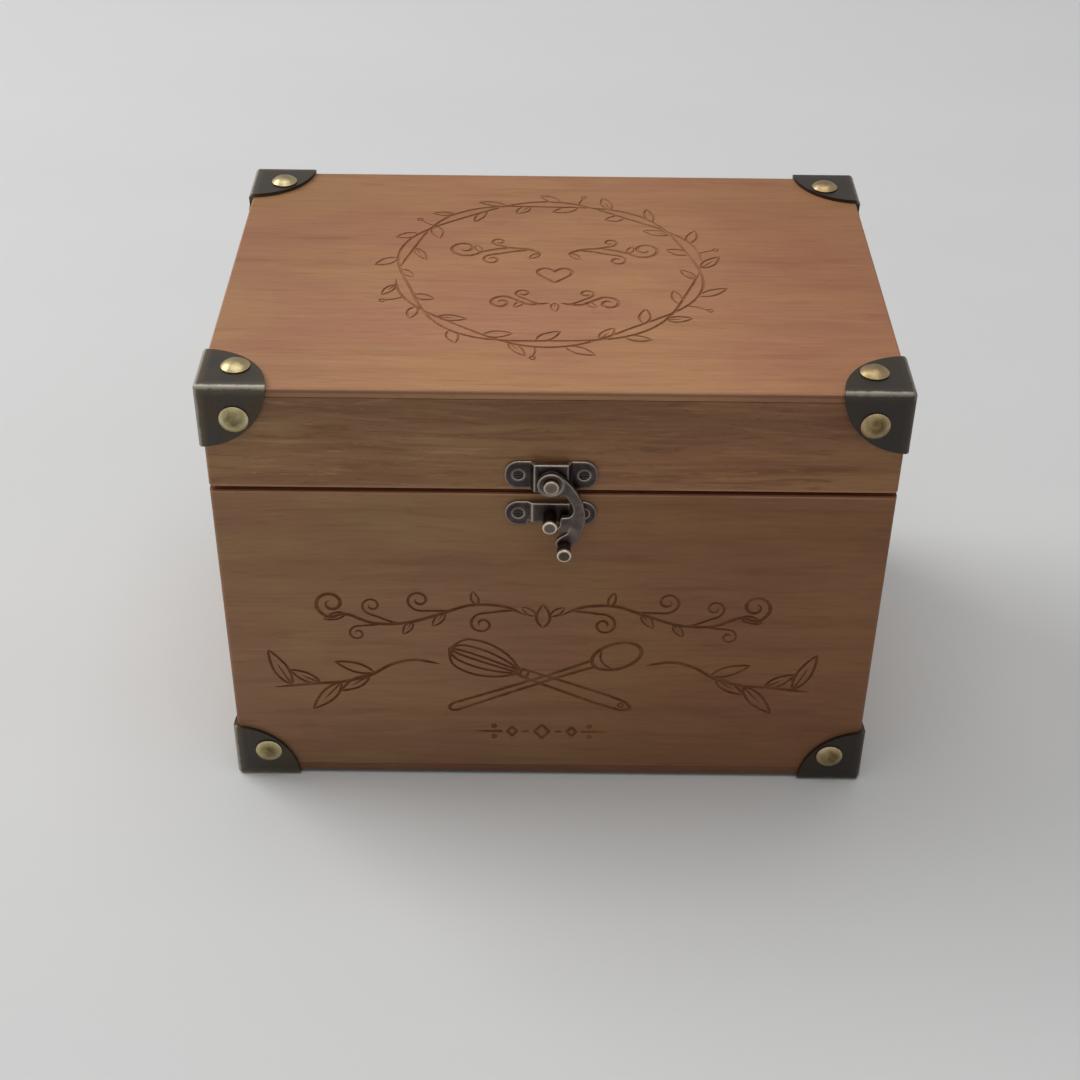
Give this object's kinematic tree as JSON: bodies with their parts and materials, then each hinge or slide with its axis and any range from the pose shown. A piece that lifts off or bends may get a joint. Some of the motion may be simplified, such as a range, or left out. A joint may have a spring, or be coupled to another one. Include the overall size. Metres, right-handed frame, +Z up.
{
  "type": "recipe card box",
  "caption": "Hinged wooden box that holds recipe cards, with metal corner protectors, domed nails and a swing-arm latch.",
  "frame": {"origin": "on the surface that the box stands on, under the middle of its bounding box", "axes": "+X along the front from left to right, +Y from front to back, +Z up"},
  "size_m": [0.2066, 0.1514, 0.1505],
  "materials": {
    "board_wood": "brown stained, satin, grain along the box",
    "panel_wood": "brown stained, satin, thin panel",
    "antique_bronze": "dark antique bronze plated steel sheet, worn at the bends",
    "brass_nails": "dull antique brass",
    "latch_bronze": "antique bronze plated steel, lighter where worn",
    "hinge_bronze": "antique bronze plated steel"
  },
  "bodies": {
    "base": {"base_front_board": "board_wood", "base_back_board": "board_wood", "base_left_board": "board_wood", "base_right_board": "board_wood", "base_bottom_panel": "panel_wood", "base_front_left_corner": "antique_bronze", "base_front_right_corner": "antique_bronze", "base_back_left_corner": "antique_bronze", "base_back_right_corner": "antique_bronze", "base_corner_nails": "brass_nails", "latch_catch_plate": "latch_bronze", "latch_catch_stud": "latch_bronze", "latch_catch_screws": "latch_bronze", "hinge_left_base_leaf": "hinge_bronze", "hinge_right_base_leaf": "hinge_bronze", "hinge_left_pin": "hinge_bronze", "hinge_right_pin": "hinge_bronze", "hinge_base_screws": "hinge_bronze"},
    "lid": {"lid_front_rail": "board_wood", "lid_back_rail": "board_wood", "lid_left_rail": "board_wood", "lid_right_rail": "board_wood", "lid_top_panel": "panel_wood", "lid_front_left_corner": "antique_bronze", "lid_front_right_corner": "antique_bronze", "lid_back_left_corner": "antique_bronze", "lid_back_right_corner": "antique_bronze", "lid_corner_nails": "brass_nails", "latch_lid_plate": "latch_bronze", "latch_pivot_rivet": "latch_bronze", "latch_lid_screws": "latch_bronze", "hinge_left_lid_leaf": "hinge_bronze", "hinge_right_lid_leaf": "hinge_bronze", "hinge_lid_screws": "hinge_bronze"},
    "latch_arm": {"latch_arm": "latch_bronze", "latch_arm_knob": "latch_bronze"}
  },
  "joints": [
    {"name": "lid_hinge", "type": "hinge", "parent": "base", "child": "lid", "pos_m": [0, 0.0738, 0.1129], "axis": [-1, 0, 0], "range_deg": [0, 180]},
    {"name": "latch_pivot", "type": "hinge", "parent": "lid", "child": "latch_arm", "pos_m": [-0.0007, -0.0701, 0.1184], "axis": [0, -1, 0], "range_deg": [-4, 170]}
  ]
}
